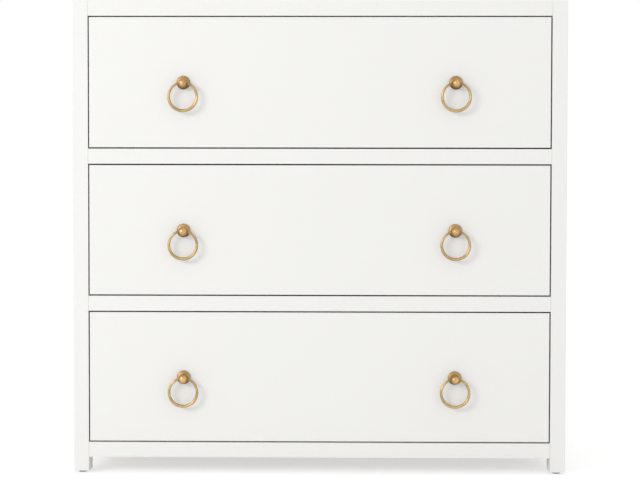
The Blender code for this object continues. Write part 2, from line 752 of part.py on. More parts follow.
def main():
    clear_scene()
    finishes = {
        "lacquer": finish("white_lacquer", (0.87, 0.87, 0.86), 0.35, 0.0),
        "inner_wood": finish("inner_wood", (0.62, 0.47, 0.31), 0.6, 0.0),
        "box_wood": finish("drawer_box_wood", (0.70, 0.55, 0.38), 0.5, 0.0),
        "back_board": finish("back_board", (0.80, 0.79, 0.77), 0.6, 0.0),
        "zinc": finish("zinc_plate", (0.62, 0.63, 0.64), 0.3, 1.0),
        "brass": finish("antique_brass", (0.62, 0.42, 0.20), 0.3, 1.0),
        "glide": finish("dark_glide", (0.06, 0.055, 0.05), 0.5, 0.0),
    }
    carcass = make_carcass(finishes)
    for index, row in enumerate(DRAWER_ROWS):
        floor_z = FIRST_OPENING + index * ROW_PITCH
        make_slides(row, floor_z, carcass, finishes)
        make_drawer(row, floor_z, finishes)


main()
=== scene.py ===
"""Dresses a lacquered three-drawer dresser: finishes, brass pulls, fasteners and the studio round it.

Metres, +Z up, the front towards -Y. Every place comes from the packed model or from the sizes below.
"""

import json
import math

import bmesh
import bpy
from bpy.props import FloatProperty, FloatVectorProperty, IntProperty, PointerProperty
from mathutils import Matrix, Vector, noise


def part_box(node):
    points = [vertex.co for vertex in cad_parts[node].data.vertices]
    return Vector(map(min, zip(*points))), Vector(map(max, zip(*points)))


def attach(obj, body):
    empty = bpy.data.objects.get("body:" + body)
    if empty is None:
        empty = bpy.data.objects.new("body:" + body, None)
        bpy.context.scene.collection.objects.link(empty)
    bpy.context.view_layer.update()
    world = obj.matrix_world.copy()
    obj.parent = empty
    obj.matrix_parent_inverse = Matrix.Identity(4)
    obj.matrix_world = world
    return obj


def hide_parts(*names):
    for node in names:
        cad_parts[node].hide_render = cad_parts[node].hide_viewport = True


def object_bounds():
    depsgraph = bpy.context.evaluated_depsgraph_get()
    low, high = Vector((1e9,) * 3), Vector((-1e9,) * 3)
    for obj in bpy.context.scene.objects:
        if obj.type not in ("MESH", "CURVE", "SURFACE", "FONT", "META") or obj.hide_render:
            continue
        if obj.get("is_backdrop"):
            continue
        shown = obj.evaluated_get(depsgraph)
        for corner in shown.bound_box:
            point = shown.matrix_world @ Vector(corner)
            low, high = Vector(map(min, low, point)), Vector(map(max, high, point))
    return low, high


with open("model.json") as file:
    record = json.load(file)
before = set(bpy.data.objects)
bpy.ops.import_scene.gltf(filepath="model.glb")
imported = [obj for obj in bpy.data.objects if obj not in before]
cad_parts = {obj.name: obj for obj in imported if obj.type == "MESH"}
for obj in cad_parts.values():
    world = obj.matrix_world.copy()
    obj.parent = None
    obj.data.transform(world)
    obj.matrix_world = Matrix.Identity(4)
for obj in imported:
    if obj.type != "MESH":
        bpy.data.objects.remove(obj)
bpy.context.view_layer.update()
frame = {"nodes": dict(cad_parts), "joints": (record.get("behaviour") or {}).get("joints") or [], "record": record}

bl_info = {
    "name": "Ring Pull Dresser",
    "version": (1, 0, 0),
    "blender": (4, 5, 0),
    "location": "3D View > Sidebar > Dresser",
    "description": "Finishes, brass pulls and small fittings for a lacquered three-drawer dresser",
    "category": "Object",
}

ROWS = ("lower", "centre", "upper")
SIDES = {"left": -1, "right": 1}
PULLS = [(row, word) for row in ROWS for word in SIDES]
ENDS = ("front", "rear")
FIT = 0.0003  # between two pieces that touch
MERGE = 0.000001  # points closer than this become one
SHARP = math.radians(32)  # faces that meet at a steeper angle keep a crisp edge
GRAIN_LEAN = [math.radians(angle) for angle in (1.6, 1.1, 1.4)]  # no grain runs quite straight
NUT_SIDES = 6
NUT_TURNS = {"lower": 100, "centre": 120, "upper": 100}  # degrees, as the nuts of each row were left
FRONT_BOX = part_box("upper_drawer_front")  # the three fronts lie at the same depth
HINGES = {
    joint["child"]: Vector(joint["pos_m"]) for joint in frame["joints"] if joint["type"] == "hinge"
}


# Sizes and colours


def length(name, description, default):
    return FloatProperty(name=name, description=description, default=default, unit="LENGTH", precision=4)


def amount(name, description, default):
    return FloatProperty(name=name, description=description, default=default, min=0.0, max=1.0)


def number(name, description, default):
    return FloatProperty(name=name, description=description, default=default)


def colour(name, description, default):
    return FloatVectorProperty(
        name=name, description=description, default=default, subtype="COLOR", size=3
    )


def location(name, description, default):
    return FloatVectorProperty(
        name=name, description=description, default=default, subtype="XYZ", unit="LENGTH", precision=4
    )


def count(name, description, default):
    return IntProperty(name=name, description=description, default=default, min=3)


class PullSizes(bpy.types.PropertyGroup):
    """The brass castings on the drawer fronts."""

    rosette: length("Rosette", "Diameter of the domed plate against the drawer front", 0.025)
    rosette_edge: length("Rosette edge", "Height of the plate's straight edge", 0.0015)
    rosette_rise: length("Rosette rise", "Height of the dome where it meets the neck", 0.005)
    neck: length("Neck", "Diameter between the rosette and the ball", 0.009)
    neck_length: length("Neck length", "Straight part between the rosette and the ball", 0.0013)
    ball: length("Ball", "Diameter of the ball that carries the ring", 0.017)
    ball_drop: length("Ball drop", "From the rosette's centre down to the ball's", 0.0019)
    stud: length("Stud", "Diameter of the stud through the drawer front", 0.004)
    rounding: length("Rounding", "Radius on the castings' edges", 0.0005)
    ring: length("Ring", "Outer diameter of the ring", 0.0566)
    wire_top: length("Wire at the top", "Thickness of the ring in its eye", 0.0040)
    wire_bottom: length("Wire at the bottom", "Thickness of the ring where it is held", 0.0056)
    unevenness: length("Unevenness", "How far the cast ring strays from its round section", 0.00012)
    swells: number("Swells", "How often the unevenness comes and goes in a metre", 90.0)
    play: length("Play", "Clearance between the wire and the eye", 0.0005)
    steps: count("Steps", "Facets round a turned shape", 80)
    rim_steps: count("Rim steps", "Facets over the rosette's rounded rim", 3)
    dome_steps: count("Dome steps", "Facets from the rosette's rim to the neck", 12)
    ball_steps: count("Ball steps", "Facets from the neck to the front of the ball", 40)
    eye_steps: count("Eye steps", "Facets along the eye", 12)
    ring_steps: count("Ring steps", "Facets round the ring", 144)
    wire_steps: count("Wire steps", "Facets round the wire", 24)


class FastenerSizes(bpy.types.PropertyGroup):
    """Screws, nuts, pins and glides."""

    screw_head: length("Screw head", "Diameter of a slide screw's pan head", 0.0072)
    screw_rise: length("Screw rise", "Height of a slide screw's pan head", 0.0022)
    shoulder: amount("Shoulder", "Part of a pan head's height that is rounded", 0.6)
    recess: length("Recess", "Width of the plug that cuts a screw's cross recess", 0.0036)
    recess_arm: length("Recess arm", "Width of one arm of the plug", 0.0008)
    recess_depth: length("Recess depth", "Depth of the recess", 0.0009)
    recess_tip: amount("Recess tip", "Width of the plug's tip as a part of its widest", 0.45)
    screw_inset: length("Screw inset", "From a slide's end to its outer screws", 0.035)
    sheet: length("Sheet", "Thickness of the slides' steel", 0.0012)
    sunk_head: length("Sunk head", "Diameter of the flush screws of the cabinet members", 0.0042)
    washer: length("Washer", "Diameter of the washer under a pull's nut", 0.0095)
    washer_height: length("Washer height", "Thickness of the washer", 0.0008)
    nut: length("Nut", "Width of a pull's nut across its flats", 0.007)
    nut_height: length("Nut height", "Thickness of a pull's nut", 0.0024)
    nut_chamfer: length("Nut chamfer", "Width of the bevel on a nut's outer edges", 0.0003)
    pin: length("Pin", "Diameter of the heads of the back panel's pins", 0.0032)
    pin_depth: length("Pin depth", "How far the pins are driven below the panel's face", 0.0002)
    dimple: length("Dimple", "Width of the dimple round a pin", 0.0052)
    dimple_depth: length("Dimple depth", "Depth of the dimple round a pin", 0.0006)
    pin_inset: length("Pin inset", "From the back panel's edge to its pins", 0.004)
    pin_spacing: length("Pin spacing", "Between two pins of the back panel", 0.11)
    glide_rounding: length("Glide rounding", "Radius at a glide's lower edge", 0.0006)
    glide_pin: length("Glide pin", "Diameter of a glide's pin", 0.003)
    steps: count("Steps", "Facets round a screw or a washer", 24)
    round_steps: count("Rounding steps", "Facets over a rounded shoulder or edge", 5)
    dimple_steps: count("Dimple steps", "Facets round a dimple", 20)
    pin_steps: count("Pin steps", "Facets round a pin's head", 16)
    glide_steps: count("Glide steps", "Facets round a glide", 48)


class FinishColours(bpy.types.PropertyGroup):
    """The colours that the finishes are mixed from, as linear values."""

    lacquer: colour("Lacquer", "Satin lacquer of the frame and the fronts", (0.88, 0.876, 0.852))
    brass: colour("Brass", "Rubbed brass of the posts", (0.68, 0.43, 0.19))
    ring_brass: colour("Ring brass", "Brass of the rings, duller from handling", (0.545, 0.38, 0.176))
    # The dark brass colour, used both for darkening by age and for painted shade on the posts and rings
    patina_and_shade: colour("Patina", "Brass darkened by age", (0.15, 0.08, 0.028))
    zinc: colour("Zinc", "Zinc-plated steel", (0.62, 0.63, 0.64))
    birch: colour("Birch", "Pale wood of the drawer boxes", (0.78, 0.63, 0.45))
    birch_line: colour("Birch line", "Dark lines of the drawer boxes' grain", (0.60, 0.43, 0.27))
    inner: colour("Inner wood", "Wood of the rear rails and the bottom panel", (0.64, 0.47, 0.30))
    inner_line: colour("Inner wood line", "Dark lines of the inner wood's grain", (0.45, 0.30, 0.17))
    board: colour("Back board", "Faced board of the back panel", (0.80, 0.79, 0.76))
    glide: colour("Glide", "Dark plastic of the glides", (0.022, 0.021, 0.018))


class BrassPatinaAndShade(bpy.types.PropertyGroup):
    """How far the brass is darkened, from 0 where it is rubbed bright to 1 for the full dark colour: by age, most
    in its hollows, and by painted shade below and round the ball and along the ring's edges.
    """

    plate: amount("Plate", "On the upper part of the rosette", 0.45)
    # Painted shade: these three darken the rosette from a little below its centre downwards, under the ball
    plate_foot_shade: amount("Plate foot", "On the lower part of the rosette", 0.90)
    shade_start: length("Fade start", "Below the rosette's centre, where it starts to darken", 0.002)
    shade_height: length("Fade height", "Height over which it darkens", 0.005)
    rim: amount("Rim", "At the rosette's rim", 0.75)
    rim_width: length("Rim width", "Width over which the rim's patina fades", 0.0014)
    # Painted shade: the ball darkens towards its outline as seen from the front, and its front stays bright
    ball: amount("Ball", "Round the ball's sides, fading towards its front", 0.8)
    eye: amount("Eye", "On the wall of the eye", 0.9)
    # Painted shade: the wire darkens along its inner and outer edges, and a lighter line stays down its front
    ring_edge_shade: amount("Ring edge", "Along the ring's inner and outer edge", 0.85)
    ring_eye: amount("Ring eye", "On the ring where it passes through its eye", 0.55)
    ring_fade: length("Ring fade", "Length below the eye over which full patina would fade", 0.014)


class StageSettings(bpy.types.PropertyGroup):
    """The camera, the light and the floor."""

    camera: location("Camera", "Place of the camera", (0.0350, -2.8175, 0.5153))
    turn: FloatVectorProperty(
        name="Turn",
        description="Pitch, roll and yaw of the camera away from straight ahead",
        default=(math.radians(-1.760), math.radians(-0.093), math.radians(0.741)),
        subtype="EULER",
    )
    lens: number("Lens", "Focal length in millimetres", 79.02)
    sky: number("Sky", "Brightness of the even light from all round", 0.765)
    key: location("Key", "Place of the tall lamp at the left", (-3.0, -3.3, 1.9))
    key_power: number("Key power", "Power of the left lamp in watts", 56.0)
    fill: location("Fill", "Place of the tall lamp at the right", (2.05, -2.61, 0.65))
    fill_power: number("Fill power", "Power of the right lamp in watts", 2.5)
    key_width: length("Key width", "Width of the left lamp", 1.9)
    fill_width: length("Fill width", "Width of the right lamp", 0.35)
    lamp_height: length("Lamp height", "Height of the two lamps", 1.25)
    floor: amount("Floor", "Reflectance of the floor", 0.95)
    shadow: amount("Shadow", "How strongly the camera sees the shadows", 0.55)
    glow: amount("Glow", "White that the camera sees in the shadows", 0.60)
    floor_width: length("Floor width", "Width of the floor", 24.0)


SETTINGS = {
    "dresser_pulls": PullSizes,
    "dresser_fasteners": FastenerSizes,
    "dresser_colours": FinishColours,
    "dresser_wear": BrassPatinaAndShade,
    "dresser_stage": StageSettings,
}


# Shader maths


class Socket:
    """An output socket. Arithmetic on it adds Math nodes to its tree."""

    def __init__(self, tree, socket):
        self.tree = tree
        self.socket = socket

    def maths(self, operation, first, second):
        return self.tree.node("ShaderNodeMath", {"operation": operation}, {0: first, 1: second})

    def __add__(self, other):
        return self.maths("ADD", self, other)

    def __radd__(self, other):
        return self.maths("ADD", other, self)

    def __sub__(self, other):
        return self.maths("SUBTRACT", self, other)

    def __rsub__(self, other):
        return self.maths("SUBTRACT", other, self)

    def __mul__(self, other):
        return self.maths("MULTIPLY", self, other)

    def __rmul__(self, other):
        return self.maths("MULTIPLY", other, self)


class Tree:
    """The nodes of a material or of the world."""

    def __init__(self, owner):
        owner.use_nodes = True
        self.nodes = owner.node_tree.nodes
        self.links = owner.node_tree.links

    def set_input(self, socket, value):
        if isinstance(value, Socket):
            self.links.new(value.socket, socket)
        elif socket.type == "RGBA":
            socket.default_value = (*value, 1.0)
        else:
            socket.default_value = value

    def node(self, kind, settings=None, inputs=None, output=0):
        """Adds a node: its settings first, with a ramp's stops, then the values or links of its inputs."""
        node = self.nodes.new(kind)
        for name, value in (settings or {}).items():
            if name == "stops":
                self.set_stops(node.color_ramp, value)
            else:
                setattr(node, name, value)
        for name, value in (inputs or {}).items():
            self.set_input(node.inputs[name], value)
        return Socket(self, node.outputs[output]) if node.outputs else None

    def set_stops(self, ramp, stops):
        for index, (position, value) in enumerate(stops):
            stop = ramp.elements[index] if index < len(ramp.elements) else ramp.elements.new(position)
            stop.position = position
            stop.color = (*value, 1.0)

    def place(self, scale=(1, 1, 1), turn=(0, 0, 0)):
        """Where a point lies on the object, stretched and turned for a pattern."""
        point = self.node("ShaderNodeTexCoord", output="Object")
        return self.node("ShaderNodeMapping", {}, {"Vector": point, "Scale": scale, "Rotation": turn})

    def noise(self, vector, scale, detail=3.0, roughness=0.5, drift=0.0):
        inputs = {
            "Vector": vector,
            "Scale": scale,
            "Detail": detail,
            "Roughness": roughness,
            "Distortion": drift,
        }
        return self.node("ShaderNodeTexNoise", {}, inputs, "Fac")

    def stretch(self, factor, low, high):
        """The part of a pattern between two values, spread over 0 to 1."""
        inputs = {"Value": factor, "From Min": low, "From Max": high}
        return self.node("ShaderNodeMapRange", {"interpolation_type": "SMOOTHSTEP"}, inputs)

    def ramp(self, factor, stops):
        return self.node("ShaderNodeValToRGB", {"stops": stops}, {"Fac": factor}, "Color")

    def mix(self, factor, first, second):
        return self.node("ShaderNodeMix", {"data_type": "RGBA"}, {0: factor, 6: first, 7: second}, 2)

    def bump(self, height, strength, distance):
        inputs = {"Height": height, "Strength": strength, "Distance": distance}
        return self.node("ShaderNodeBump", {}, inputs)


class Finish(Tree):
    """A material with a Principled surface."""

    def __init__(self, name, metallic=0.0):
        self.material = bpy.data.materials.new(name)
        super().__init__(self.material)
        self.surface = self.nodes["Principled BSDF"]
        self.surface.inputs["Metallic"].default_value = metallic

    def made(self, tint, roughness, normal):
        """Wires up what varies over the surface, and gives the finished material."""
        self.set_input(self.surface.inputs["Base Color"], tint)
        self.set_input(self.surface.inputs["Roughness"], roughness)
        self.set_input(self.surface.inputs["Normal"], normal)
        return self.material


# Finishes


def shade(tint, share):
    """A darker or lighter version of a colour."""
    return tuple(share * part for part in tint)


def lacquer_finish(colours):
    """Sprayed satin lacquer: a faint cloudiness in the colour and a fine orange peel."""
    finish = Finish("satin_white_lacquer")
    point = finish.place()
    cloud = finish.noise(point, scale=2.6, detail=4.0)
    peel = finish.noise(point, scale=420.0, detail=2.0)
    ripple = finish.noise(point, scale=60.0, detail=2.0)
    tint = finish.mix(cloud, shade(colours.lacquer, 0.992), shade(colours.lacquer, 1.006))
    relief = finish.bump(peel * 0.6 + ripple * 0.4, strength=0.06, distance=0.0006)
    return finish.made(tint, 0.30 + cloud * 0.10, relief)


def wood_finish(name, pale, dark, axis, roughness):
    """Sanded wood with its grain along one axis: soft wandering bands, fine lines and short pores."""
    finish = Finish(name)
    grain = finish.place(turn=GRAIN_LEAN)

    def marks(along, across, drift=0.0):
        """Noise drawn out along the board, with so many marks in a metre along and across it."""
        scale = (along, across, across) if axis == "X" else (across, along, across)
        drawn_out = finish.node("ShaderNodeMapping", {}, {"Vector": grain, "Scale": scale})
        return finish.noise(drawn_out, scale=1.0, drift=drift)

    bands = marks(along=1.8, across=34, drift=0.9)
    lines = marks(along=6, across=230, drift=0.5)
    pores = marks(along=55, across=1500)
    patches = finish.noise(grain, scale=2.4)
    depth = bands * 0.40 + lines * 0.30 + pores * 0.15 + patches * 0.15
    tint = finish.ramp(depth, [(0.38, tuple(pale)), (0.50, shade(pale, 0.92)), (0.66, tuple(dark))])
    relief = finish.bump(pores * 0.7 + lines * 0.3, strength=0.12, distance=0.0003)
    return finish.made(tint, roughness + pores * 0.12, relief)


def board_finish(colours):
    """A faced board: nearly even, with a fine leathery emboss."""
    finish = Finish("faced_back_board")
    point = finish.place()
    cloud = finish.noise(point, scale=6.0, detail=4.0)
    emboss = finish.node("ShaderNodeTexVoronoi", {}, {"Vector": point, "Scale": 700.0}, "Distance")
    tint = finish.mix(cloud, shade(colours.board, 0.96), shade(colours.board, 1.02))
    relief = finish.bump(emboss, strength=0.12, distance=0.0004)
    return finish.made(tint, 0.50 + cloud * 0.08, relief)


def zinc_finish(colours):
    """Rolled and plated steel: streaks along the slide and a faint spangle."""
    finish = Finish("zinc_plated_steel", metallic=1.0)
    streak = finish.noise(finish.place(scale=(1500, 8, 1500)), scale=1.0, detail=2.0)
    spangle = finish.noise(finish.place(), scale=90.0)
    tint = finish.mix(spangle, shade(colours.zinc, 0.86), shade(colours.zinc, 1.08))
    relief = finish.bump(streak, strength=0.10, distance=0.0002)
    return finish.made(tint, 0.26 + streak * 0.16 + spangle * 0.06, relief)


def brass_finish(name, tint, patina_and_shade):
    """Cast brass, darkened by age and rubbed bright again: mottled, with small dents, and painted shade where the
    recess attribute is high.
    """
    finish = Finish(name, metallic=1.0)
    point = finish.place()
    mottle = finish.noise(point, scale=190.0, detail=4.0, roughness=0.6)
    fine = finish.noise(point, scale=900.0, detail=2.0)
    dents = finish.noise(point, scale=330.0, detail=2.0)
    # The recess attribute holds darkening by age and painted shade under and round the ball and along the ring's
    # edges
    recess = finish.node("ShaderNodeAttribute", {"attribute_name": "recess"}, output="Fac")
    patches = finish.noise(point, scale=55.0, detail=2.0)
    age = finish.stretch(patches * 0.45 + mottle * 0.35 + fine * 0.20, low=0.38, high=0.66)
    worn = finish.mix(age, shade(tint, 1.16), shade(tint, 0.72))
    aged_and_shaded = finish.mix(recess, worn, tuple(patina_and_shade))
    relief = finish.bump(dents * 0.7 + fine * 0.3, strength=0.35, distance=0.0005)
    return finish.made(aged_and_shaded, 0.27 + mottle * 0.16 + recess * 0.18, relief)


def glide_finish(colours):
    """Moulded plastic with a dull, lightly scuffed skin."""
    finish = Finish("dark_glide_plastic")
    finish.surface.inputs["Specular IOR Level"].default_value = 0.25
    scuff = finish.noise(finish.place(), scale=500.0, detail=4.0)
    tint = finish.mix(scuff, shade(colours.glide, 0.8), shade(colours.glide, 1.35))
    relief = finish.bump(scuff, strength=0.15, distance=0.0002)
    return finish.made(tint, 0.48 + scuff * 0.2, relief)


FINISHES = {
    "lacquer": lacquer_finish,
    "zinc": zinc_finish,
    "post": lambda c: brass_finish("antique_brass_of_the_posts", c.brass, c.patina_and_shade),
    "ring": lambda c: brass_finish("antique_brass_of_the_rings", c.ring_brass, c.patina_and_shade),
    "board": board_finish,
    "glide": glide_finish,
    "birch_along": lambda c: wood_finish("birch_of_the_sides", c.birch, c.birch_line, "Y", 0.42),
    "birch_across": lambda c: wood_finish("birch_of_backs_and_bottoms", c.birch, c.birch_line, "X", 0.42),
    "inner": lambda c: wood_finish("inner_wood", c.inner, c.inner_line, "X", 0.55),
}
made_finishes = {}


def finish_for(name):
    """Each finish is made once, the first time that a piece needs it."""
    if name not in made_finishes:
        made_finishes[name] = FINISHES[name](bpy.context.scene.dresser_colours)
    return made_finishes[name]


def refinish(node, name):
    """Gives a solid of the packed model its finish."""
    for slot in frame["nodes"][node].material_slots:
        slot.material = finish_for(name)


# Meshes


def turned(profile, steps):
    """A closed turned shape about +Z: (height, radius) points spun once round."""
    bm = bmesh.new()
    verts = [bm.verts.new((radius, 0, height)) for height, radius in profile]
    edges = [bm.edges.new(pair) for pair in zip(verts, verts[1:])]
    bmesh.ops.spin(
        bm, geom=verts + edges, axis=(0, 0, 1), cent=(0, 0, 0), angle=math.tau,
        steps=steps, use_merge=True
    )
    bmesh.ops.remove_doubles(bm, verts=bm.verts, dist=MERGE)
    bmesh.ops.recalc_face_normals(bm, faces=bm.faces)
    return bm


def arc(height, radius, reach, start, end, steps):
    """(height, radius) points on an arc; angle 0 points along the axis."""
    angles = [start + (end - start) * index / steps for index in range(steps + 1)]
    return [(height + reach * math.cos(angle), radius + reach * math.sin(angle)) for angle in angles]


def pointing(place, direction, twist=0.0):
    """A matrix that puts a shape made along +Z at a place, pointing in a direction."""
    turn = Vector(direction).to_track_quat("Z", "Y").to_matrix().to_4x4()
    return Matrix.Translation(place) @ turn @ Matrix.Rotation(twist, 4, "Z")


def as_object(name, bm):
    mesh = bpy.data.meshes.new(name)
    bm.to_mesh(mesh)
    bm.free()
    obj = bpy.data.objects.new(name, mesh)
    bpy.context.scene.collection.objects.link(obj)
    return obj


def remove(obj):
    mesh = obj.data
    bpy.data.objects.remove(obj)
    bpy.data.meshes.remove(mesh)


def joined(bm, other, operation="UNION"):
    """The first mesh with the second joined on, or cut out of it."""
    solid = as_object("solid", bm)
    tool = as_object("tool", other)
    boolean = solid.modifiers.new("boolean", "BOOLEAN")
    boolean.operation = operation
    boolean.object = tool
    result = bmesh.new()
    result.from_object(solid, bpy.context.evaluated_depsgraph_get())
    remove(solid)
    remove(tool)
    return result


def copies(bm, matrices, onto=None):
    """One mesh with a copy of the first at each place, in a new mesh or added to another one."""
    holder = bpy.data.meshes.new("holder")
    bm.to_mesh(holder)
    bm.free()
    result = bmesh.new() if onto is None else onto
    for matrix in matrices:
        copy = holder.copy()
        copy.transform(matrix)
        result.from_mesh(copy)
        bpy.data.meshes.remove(copy)
    bpy.data.meshes.remove(holder)
    return result


def piece(name, bm, finish, body, nodes=()):
    """Makes the mesh a finished piece that rides on a body and stands for the named solids."""
    obj = as_object(name, bm)
    obj.data.shade_smooth()
    obj.data.set_sharp_from_angle(angle=SHARP)
    obj.data.materials.append(finish_for(finish))
    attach(obj, body)
    if nodes:
        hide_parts(*nodes)
    return obj


def mark_age_and_shade(obj, darkness_at):
    """Stores how dark each vertex should be, from 0 to 1, by age and by painted shade, in the recess attribute."""
    attribute = obj.data.attributes.new("recess", "FLOAT", "POINT")
    for vert, entry in zip(obj.data.vertices, attribute.data):
        entry.value = min(max(darkness_at(vert.co), 0.0), 1.0)


# Pulls


def ring_radius(sizes):
    """From the ring's middle to the middle of its wire."""
    return (sizes.ring - (sizes.wire_top + sizes.wire_bottom) / 2) / 2


def half_wire(sizes, angle):
    """Half the ring's thickness, thinnest at the top where the angle is 0."""
    return (sizes.wire_top + (sizes.wire_bottom - sizes.wire_top) * (1 - math.cos(angle)) / 2) / 2


def ball_height(sizes):
    """From the drawer front to the ball's middle."""
    return sizes.rosette_rise + sizes.neck_length + math.sqrt(sizes.ball**2 - sizes.neck**2) / 2


def rosette_profile(sizes, tail):
    """The stud and the domed rosette with its rounded rim, as (height, radius) points."""
    rim = sizes.rosette / 2
    flat = sizes.neck / 2
    stud = sizes.stud / 2
    soft = sizes.rounding
    edge = FIT + sizes.rosette_edge
    profile = [(-tail, 0), (-tail, stud - soft), (soft - tail, stud), (FIT, stud), (FIT, rim - soft)]
    profile += arc(FIT + soft, rim - soft, soft, math.pi, math.pi / 2, sizes.rim_steps)[1:]
    for index in range(sizes.dome_steps + 1):
        angle = math.pi / 2 * index / sizes.dome_steps
        height = edge + (sizes.rosette_rise - edge) * math.sin(angle)
        profile.append((height, flat + (rim - flat) * math.cos(angle)))
    return profile + [(sizes.rosette_rise, 0)]


def ball_profile(sizes):
    """The neck and the ball, as (height, radius) points."""
    root = sizes.rosette_rise / 2
    first = math.asin(sizes.neck / sizes.ball)
    ball = arc(ball_height(sizes), 0, sizes.ball / 2, math.pi - first, 0, sizes.ball_steps)
    return [(root, 0), (root, sizes.neck / 2), *ball]


def eye_profile(sizes):
    """The flared eye: at each distance across the ball, the radius that the curved wire needs."""
    reach = sizes.ball / 2 + sizes.rounding
    profile = [(-reach, 0)]
    for index in range(sizes.eye_steps + 1):
        across = reach * (2 * index / sizes.eye_steps - 1)
        angle = math.asin(across / ring_radius(sizes))
        drop = ring_radius(sizes) * (1 - math.cos(angle))
        profile.append((across, drop + half_wire(sizes, angle) / math.cos(angle) + sizes.play))
    return profile + [(reach, 0)]


def make_post(row, word):
    """One rosette, neck and ball, with the eye cut through the ball."""
    sizes = bpy.context.scene.dresser_pulls
    darkening = bpy.context.scene.dresser_wear
    node = f"{row}_{word}_pull_post"
    hinge = HINGES[f"{row}_{word}_ring"]
    low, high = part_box(node)
    front = FRONT_BOX[0].y
    foot = Vector((hinge.x, front, (low.z + high.z) / 2))
    ball_foot = foot - Vector((0, 0, sizes.ball_drop))
    ball_centre = ball_foot - Vector((0, ball_height(sizes), 0))

    def turned_at(profile, place, direction):
        return copies(turned(profile, sizes.steps), [pointing(place, direction)])

    rosette = turned_at(rosette_profile(sizes, high.y - front), foot, (0, -1, 0))
    ball = turned_at(ball_profile(sizes), ball_foot, (0, -1, 0))
    eye = turned_at(eye_profile(sizes), hinge, (1, 0, 0))
    casting = joined(joined(rosette, ball), eye, "DIFFERENCE")
    post = piece(f"{row}_{word}_brass_post", casting, "post", f"{row}_drawer", [node])

    # Darkening by age on the plate and at its rim, and painted shade over the rosette below the ball
    def plate_age_and_shade(point):
        from_axis = math.hypot(point.x - foot.x, point.z - foot.z)
        near_rim = 1 - (sizes.rosette / 2 - from_axis) / darkening.rim_width
        shade_below = min(max((foot.z - point.z - darkening.shade_start) / darkening.shade_height, 0), 1)
        return max(darkening.rim * near_rim, darkening.plate + (darkening.plate_foot_shade - darkening.plate) * shade_below)

    # Darkening by age in the eye, and painted shade towards the ball's outline as seen from the front
    def ball_age_and_shade(point):
        from_ball = point - ball_centre
        in_eye = from_ball.length < sizes.ball / 2 - sizes.rounding
        facing_front = max(0, -from_ball.normalized().y)
        return max(darkening.eye if in_eye else 0, darkening.ball * (1 - facing_front))

    def darkness_at(point):
        on_plate = front - point.y < sizes.rosette_rise
        return plate_age_and_shade(point) if on_plate else ball_age_and_shade(point)

    mark_age_and_shade(post, darkness_at)


def make_ring(row, word):
    """One ring: a circle spun once round, then thickened towards the bottom and made a bit uneven."""
    sizes = bpy.context.scene.dresser_pulls
    darkening = bpy.context.scene.dresser_wear
    node = f"{row}_{word}_pull_ring"
    hinge = HINGES[f"{row}_{word}_ring"]
    radius = ring_radius(sizes)
    bm = bmesh.new()
    section = bmesh.ops.create_circle(bm, segments=sizes.wire_steps, radius=sizes.wire_top / 2)
    upright = Matrix.Rotation(math.pi / 2, 3, "Y")
    bmesh.ops.rotate(bm, verts=section["verts"], cent=(0, 0, 0), matrix=upright)
    bmesh.ops.spin(
        bm, geom=bm.verts[:] + bm.edges[:], axis=(0, 1, 0), cent=(0, 0, -radius), angle=math.tau,
        steps=sizes.ring_steps, use_merge=True
    )
    bmesh.ops.remove_doubles(bm, verts=bm.verts, dist=MERGE)
    bmesh.ops.recalc_face_normals(bm, faces=bm.faces)
    for vert in bm.verts:
        angle = math.atan2(vert.co.x, vert.co.z + radius)
        line = Vector((radius * math.sin(angle), 0, radius * (math.cos(angle) - 1)))
        stray = sizes.unevenness * noise.noise((vert.co + hinge) * sizes.swells)
        outward = (vert.co - line).normalized()
        vert.co = line + outward * (half_wire(sizes, angle) + stray)
    bmesh.ops.translate(bm, verts=bm.verts, vec=hinge)
    ring = piece(f"{row}_{word}_brass_ring", bm, "ring", f"{row}_{word}_ring", [node])

    # Darkening by age where the ring passes through its eye, and painted shade along the wire's edges
    def darkness_at(point):
        near_eye = darkening.ring_eye - (hinge.z - point.z) / darkening.ring_fade
        edge_shade = 1 - abs(point.y - hinge.y) / (sizes.wire_top / 2)
        return max(near_eye, darkening.ring_edge_shade * edge_shade)

    mark_age_and_shade(ring, darkness_at)


# Fasteners


def cross_cutter(sizes, rise):
    """A tapered cross-shaped plug that cuts a screw's recess from above."""
    arm = sizes.recess / 2
    half = sizes.recess_arm / 2
    quarter = [Vector((half, half)), Vector((half, arm)), Vector((-half, arm))]
    quarter_turns = [Matrix.Rotation(math.pi / 2 * turn, 2) for turn in range(4)]
    corners = [turn @ corner for turn in quarter_turns for corner in quarter]
    bm = bmesh.new()
    face = bm.faces.new([bm.verts.new((*corner, rise + sizes.recess_depth)) for corner in corners])
    made = bmesh.ops.extrude_face_region(bm, geom=[face])["geom"]
    tip = [vert for vert in made if isinstance(vert, bmesh.types.BMVert)]
    bmesh.ops.translate(bm, verts=tip, vec=(0, 0, -2 * sizes.recess_depth))
    bmesh.ops.scale(bm, verts=tip, vec=(sizes.recess_tip, sizes.recess_tip, 1))
    bmesh.ops.remove_doubles(bm, verts=bm.verts, dist=MERGE)
    bmesh.ops.recalc_face_normals(bm, faces=bm.faces)
    return bm


def pan_head(sizes):
    """A slide screw's head with rounded shoulders."""
    radius = sizes.screw_head / 2
    rise = sizes.screw_rise
    soft = rise * sizes.shoulder
    shoulder = arc(rise - soft, radius - soft, soft, math.pi / 2, 0, sizes.round_steps)
    profile = [(0, 0), (0, radius), *shoulder, (rise, 0)]
    return joined(turned(profile, sizes.steps), cross_cutter(sizes, rise), "DIFFERENCE")


